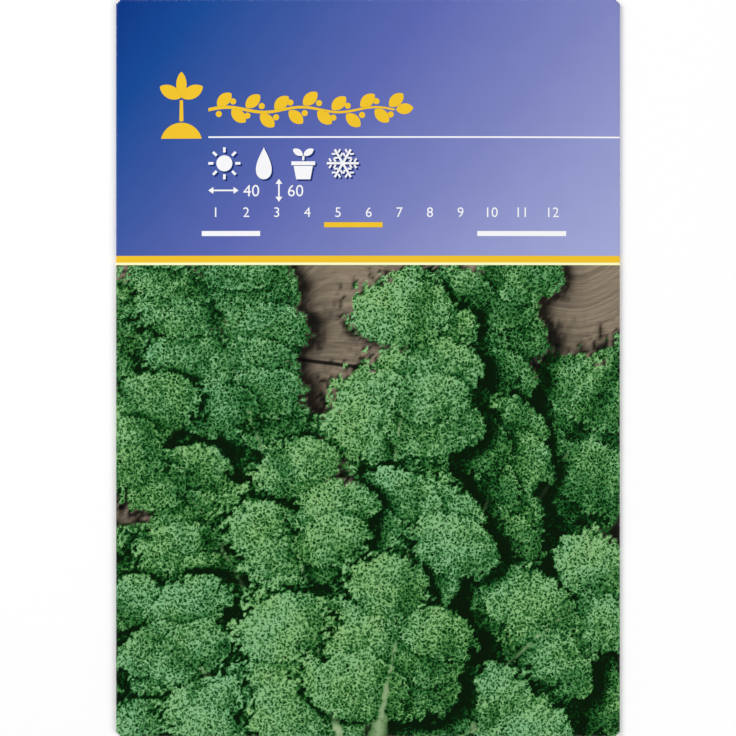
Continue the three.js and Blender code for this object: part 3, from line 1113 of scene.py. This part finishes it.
# Sachet
# Two films of aluminium foil on thin paper, heat-sealed to each other in a crimped rim. The back film
# is nearly flat, and the front one bulges over the seeds. Both are crinkled from filling.
FILM = 0.12 * MM
FILM_PITCH = 0.8 * MM
BACK_FILM_Z = 0.75 * MM
SEAL_GAP = 0.02 * MM
SEAL_WIDTH = 6 * MM
CRIMP_PITCH = 2.4 * MM
CRIMP_HEIGHT = 0.025 * MM


def crimped(x, y):
    """The ridges of the seal, which the heated jaws press into both films alike."""
    inside = min(SACHET_WIDTH / 2 - abs(x), SACHET_HEIGHT / 2 - abs(y - SACHET_Y))
    past_rim = eased(inside, 0.3 * MM, 1 * MM)
    past_seal = eased(inside, SEAL_WIDTH - 1.2 * MM, SEAL_WIDTH - 0.4 * MM)
    ridge = math.sin((x + y) * 2 * math.pi / CRIMP_PITCH)
    return CRIMP_HEIGHT * past_rim * (1 - past_seal) * ridge


def crinkled(x, y, seed):
    """Sharp small ridges, as foil keeps."""
    coarse = abs(noise.noise(Vector((x * 90, y * 75, seed))))
    fine = abs(noise.noise(Vector((x * 230, y * 260, seed + 4))))
    return (1 - coarse * 2.2) * 0.09 * MM + (1 - fine * 2.2) * 0.03 * MM


def bulge(x, y):
    """How far the front film stands over its rim."""
    across = min(1, abs(x) / (SACHET_WIDTH / 2 - SEAL_WIDTH)) ** 4
    up = min(1, abs(y - SACHET_Y) / (SACHET_HEIGHT / 2 - SEAL_WIDTH)) ** 6
    return (1 - across) * (1 - up)


def back_film_height(x, y):
    return BACK_FILM_Z + crimped(x, y) + bulge(x, y) * crinkled(x, y, 2.5) * 0.25


def front_film_height(x, y):
    lift = (0.8 + 1.4 * over_seeds(x, y)) * MM + crinkled(x, y, 8.5)
    return BACK_FILM_Z + FILM + SEAL_GAP + crimped(x, y) + bulge(x, y) * lift


def make_foil():
    material, nodes = new_material("foil_laminate")
    place = nodes.place_in_mm()
    rolled = nodes.noise(nodes.add("Mapping", {"Vector": place, "Scale": (4, 0.15, 1)}).outputs[0], 1.5, 3)
    dull = nodes.noise(place, 0.3, 3)
    nodes.finish({
        "Base Color": nodes.mix(dull, ink(206, 208, 212), ink(226, 227, 229)),
        "Metallic": 1,
        "Roughness": rolled * 0.12 + dull * 0.2 + 0.16,
        "Normal": nodes.relief(rolled + dull, 0.3, 0.01),
    })
    return material


def make_film(name, height, material, node):
    """One film of the sachet. Both are split into the same triangles, so that their rims stay apart."""
    bm = bmesh.new()
    columns, rows = round(SACHET_WIDTH / FILM_PITCH), round(SACHET_HEIGHT / FILM_PITCH)
    bmesh.ops.create_grid(bm, x_segments=columns, y_segments=rows, size=0.5)
    bmesh.ops.triangulate(bm, faces=bm.faces, quad_method="FIXED")
    under = set(bm.verts)
    bmesh.ops.extrude_face_region(bm, geom=list(bm.faces), use_keep_orig=True)
    for vert in bm.verts:
        x, y = vert.co.x * SACHET_WIDTH, vert.co.y * SACHET_HEIGHT + SACHET_Y
        vert.co = (x, y, height(x, y) + (0 if vert in under else FILM))
    bmesh.ops.recalc_face_normals(bm, faces=bm.faces)
    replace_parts(new_piece(name, bm, [material]), node)


foil = make_foil()
make_film("back_foil", back_film_height, foil, "sachet_back_film")
make_film("front_foil", front_film_height, foil, "sachet_front_film")


# Seeds
# About sixty loose round seeds, dark brown with a fine raised net, in one layer on the sachet's back
# film. Each is a little dented.
SEED_PITCH = 1.6
SEED_RADIUS = 0.73
SEED_JITTER = 0.04


def make_seed_coat():
    material, nodes = new_material("seed_coat")
    place = nodes.place_in_mm()
    cells = nodes.signal("TexVoronoi", {"Vector": place, "Scale": 7}, "Distance", feature="DISTANCE_TO_EDGE")
    net = cells.rise(0.02, 0.16)
    tone = nodes.noise(place, 0.7, 2)
    nodes.finish({
        "Base Color": nodes.mix(net, ink(98, 66, 52), nodes.mix(tone, ink(44, 24, 20), ink(76, 46, 36))),
        "Roughness": tone * 0.2 + 0.4,
        "Normal": nodes.relief(net.inverse(), 0.6, 0.02),
    })
    return material


def seed_places():
    """Rows of seeds, each row shifted by half a pitch, inside the patch and a little out of line."""
    draw = random.Random(7)
    patch_x, patch_y = SEED_PATCH["x"] / MM, SEED_PATCH["y"] / MM
    half_width, half_height = SEED_PATCH["width"] / MM / 2, SEED_PATCH["height"] / MM / 2
    row_pitch = SEED_PITCH * math.sqrt(3) / 2
    reach = math.ceil(half_width / SEED_PITCH) + 1
    for row in range(-reach, reach + 1):
        for column in range(-reach, reach + 1):
            x, y = (column + (row % 2) / 2) * SEED_PITCH, row * row_pitch
            if math.hypot(x / half_width, y / half_height) <= 1:
                shift_x, shift_y = draw.uniform(-1, 1), draw.uniform(-1, 1)
                yield patch_x + x + shift_x * SEED_JITTER, patch_y + y + shift_y * SEED_JITTER


def make_seeds():
    bm = bmesh.new()
    level = (BACK_FILM_Z + FILM) / MM + 0.04 + SEED_RADIUS
    for index, (x, y) in enumerate(seed_places()):
        place = Matrix.Translation((x * MM, y * MM, level * MM)) @ Matrix.Scale(MM, 4)
        made = bmesh.ops.create_icosphere(bm, subdivisions=3, radius=SEED_RADIUS)["verts"]
        for vert in made:
            dent = noise.noise(vert.co * 1.3 + Vector((index * 3.1, 0, 0)))
            vert.co = place @ (vert.co * (0.97 + 0.06 * min(0, dent)))
    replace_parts(new_piece("kale_seeds", bm, [make_seed_coat()]), "seeds")


make_seeds()


# Table, light and camera
# The packet lies on a plain pale table under soft even light. The camera looks straight down on the
# printed front, from far off, with the packet's height filling the frame as in the photograph.
LENS = 150
SENSOR = 36
OVERFILL = 0.1 * MM
TABLE_GAP = 0.02 * MM
TABLE_SIZE = 3


def make_table():
    """The floor under the packet, with hardly any grain."""
    bm = bmesh.new()
    level = Matrix.Translation((0, 0, -TABLE_GAP))
    bmesh.ops.create_grid(bm, x_segments=1, y_segments=1, size=TABLE_SIZE / 2, matrix=level)
    mesh = bpy.data.meshes.new("table")
    bm.to_mesh(mesh)
    bm.free()
    table = bpy.data.objects.new("table", mesh)
    bpy.context.scene.collection.objects.link(table)
    material, nodes = new_material("pale_table")
    grain = nodes.noise(nodes.place_in_mm(), 0.5, 2)
    colour = nodes.mix(grain, ink(253, 253, 253), ink(255, 255, 255))
    nodes.finish({"Base Color": colour, "Roughness": 0.9})
    mesh.materials.append(material)
    table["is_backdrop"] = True


def add_lamp(name, place, size, power):
    """A soft box that looks at the packet's middle."""
    light = bpy.data.lights.new(name, "AREA")
    light.shape = "SQUARE"
    light.size = size
    light.energy = power
    lamp = bpy.data.objects.new(name, light)
    lamp.location = place
    lamp.rotation_euler = (-Vector(place)).to_track_quat("-Z", "Y").to_euler()
    bpy.context.scene.collection.objects.link(lamp)


def add_world(strength):
    """Even white light from all sides."""
    world = bpy.data.worlds.new("studio")
    world.use_nodes = True
    background = world.node_tree.nodes["Background"].inputs
    background["Color"].default_value = (1, 1, 1, 1)
    background["Strength"].default_value = strength
    bpy.context.scene.world = world


def add_camera():
    """A long lens straight over the packet's middle."""
    camera_data = bpy.data.cameras.new("camera")
    camera_data.lens = LENS
    camera_data.sensor_width = SENSOR
    camera_data.clip_start = 0.01
    camera_data.clip_end = 10
    distance = (HALF_HEIGHT - OVERFILL) * LENS / (SENSOR / 2)
    camera = bpy.data.objects.new("camera", camera_data)
    camera.location = (0, 0, END_FOLD + distance)
    bpy.context.scene.collection.objects.link(camera)
    bpy.context.scene.camera = camera


make_table()
add_lamp("upper_left_box", (-0.55, 0.5, 0.6), 0.5, 5.1)
add_lamp("lower_right_box", (0.6, -0.45, 0.55), 0.5, 3.25)
add_world(0.48)
add_camera()
bpy.context.scene.view_settings.view_transform = "Standard"

boxes = {"cad": cad_box, "scene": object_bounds()}
{name: [list(corner) for corner in box] for name, box in boxes.items()}
